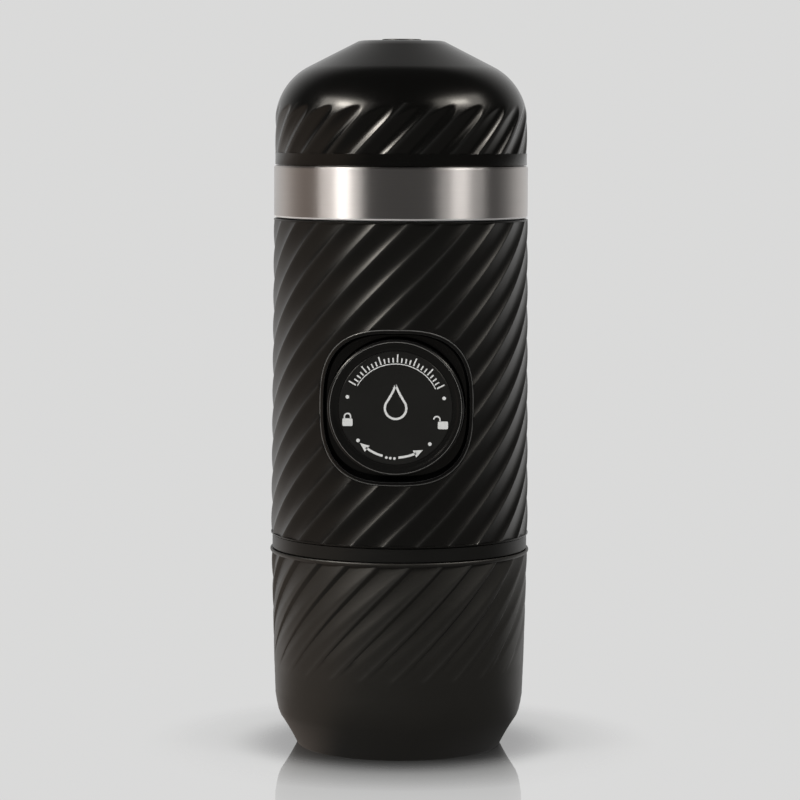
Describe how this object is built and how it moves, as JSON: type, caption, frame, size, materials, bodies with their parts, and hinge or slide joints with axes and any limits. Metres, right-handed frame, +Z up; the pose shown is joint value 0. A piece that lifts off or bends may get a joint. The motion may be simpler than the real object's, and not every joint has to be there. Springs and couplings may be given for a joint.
{
  "type": "portable espresso maker",
  "caption": "Pocket-size hand-pumped espresso maker: ridged black barrel with steel band, domed outlet head, locking pump knob, inner water tank and push-on cup.",
  "frame": {"origin": "centre of the cup's foot, on the surface that the maker stands on", "axes": "+Z up along the maker's axis, -Y towards the pump knob, +X to the right seen from the front"},
  "size_m": [0.0658, 0.0658, 0.1788],
  "materials": {
    "cup_black": "moulded matt black with twisted ridges",
    "tank_smoke": "smoke-tinted clear plastic",
    "body_black": "satin black with twisted ridges",
    "ring_black": "smooth satin black",
    "dome_black": "semi-gloss black",
    "tip_black": "semi-gloss black",
    "band_steel": "horizontally brushed, polished bevels",
    "well_black": "gloss black",
    "knob_black": "gloss black",
    "face_black": "matt black with light grey marks",
    "inner_grey": "moulded grey engineering plastic",
    "barrel_steel": "ground steel",
    "fitting_brass": "turned brass",
    "basket_steel": "polished stainless steel",
    "spring_steel": "spring wire",
    "ball_steel": "polished balls",
    "screw_steel": "zinc-plated screws",
    "seal_rubber": "food-grade silicone, brick red",
    "hose_clear": "milky silicone hose"
  },
  "bodies": {
    "drinking_cup": {"drinking_cup": "cup_black"},
    "water_tank": {"water_tank": "tank_smoke", "cup_grip_ring": "seal_rubber"},
    "main_body": {"tank_collar": "ring_black", "tank_seal": "seal_rubber", "suction_strainer": "basket_steel", "vent_valve": "seal_rubber", "body_shell": "body_black", "chassis": "inner_grey", "chassis_screws": "screw_steel", "deck_screws": "screw_steel", "pump_cylinder": "barrel_steel", "pump_ring_seal": "seal_rubber", "pump_screws": "screw_steel", "rod_guide": "inner_grey", "return_spring": "spring_steel", "button_well": "well_black", "valve_block": "inner_grey", "inlet_fitting": "fitting_brass", "outlet_fitting": "fitting_brass", "inlet_spring": "spring_steel", "outlet_spring": "spring_steel", "water_hose": "hose_clear", "brew_hose": "hose_clear", "brew_collar": "inner_grey", "shower_plate": "basket_steel", "piercing_pins": "basket_steel", "brew_seal": "seal_rubber"},
    "piston": {"piston": "inner_grey", "piston_seal": "seal_rubber", "piston_rod": "barrel_steel", "knob_screw": "screw_steel"},
    "knob": {"knob_cap": "knob_black", "knob_face": "face_black"},
    "inlet_ball": {"inlet_ball": "ball_steel"},
    "outlet_ball": {"outlet_ball": "ball_steel"},
    "head": {"dome_head": "dome_black", "nozzle_tip": "tip_black", "steel_band": "band_steel", "outlet_funnel": "inner_grey", "head_seal": "seal_rubber"},
    "basket": {"filter_basket": "basket_steel", "basket_screen": "basket_steel", "basket_seal": "seal_rubber"}
  },
  "joints": [
    {"name": "cup_pull", "type": "slide", "parent": "drinking_cup", "child": "water_tank", "axis": [0, 0, 1], "range_m": [0, 0.05]},
    {"name": "tank_unscrew", "type": "slide", "parent": "water_tank", "child": "main_body", "axis": [0, 0, 1], "range_m": [0, 0.022]},
    {"name": "piston_pump", "type": "slide", "parent": "main_body", "child": "piston", "axis": [0, -1, 0], "range_m": [0, 0.014], "deforming": ["return_spring"]},
    {"name": "knob_lock", "type": "hinge", "parent": "piston", "child": "knob", "pos_m": [0, 0, 0.0885], "axis": [0, 1, 0], "range_deg": [0, 45]},
    {"name": "inlet_ball_lift", "type": "slide", "parent": "main_body", "child": "inlet_ball", "axis": [0, 0, 1], "range_m": [0, 0.0012], "stiffness_N_per_m": 20, "deforming": ["inlet_spring"]},
    {"name": "outlet_ball_lift", "type": "slide", "parent": "main_body", "child": "outlet_ball", "axis": [0, 0, 1], "range_m": [0, 0.0012], "stiffness_N_per_m": 20, "deforming": ["outlet_spring"]},
    {"name": "head_lift", "type": "slide", "parent": "main_body", "child": "head", "axis": [0, 0, 1], "range_m": [0, 0.06]},
    {"name": "basket_lift", "type": "slide", "parent": "main_body", "child": "basket", "axis": [0, 0, 1], "range_m": [0, 0.03]}
  ],
  "couplings": [
    {"joint": "basket_lift", "follows": "head_lift", "ratio": 0.5}
  ]
}
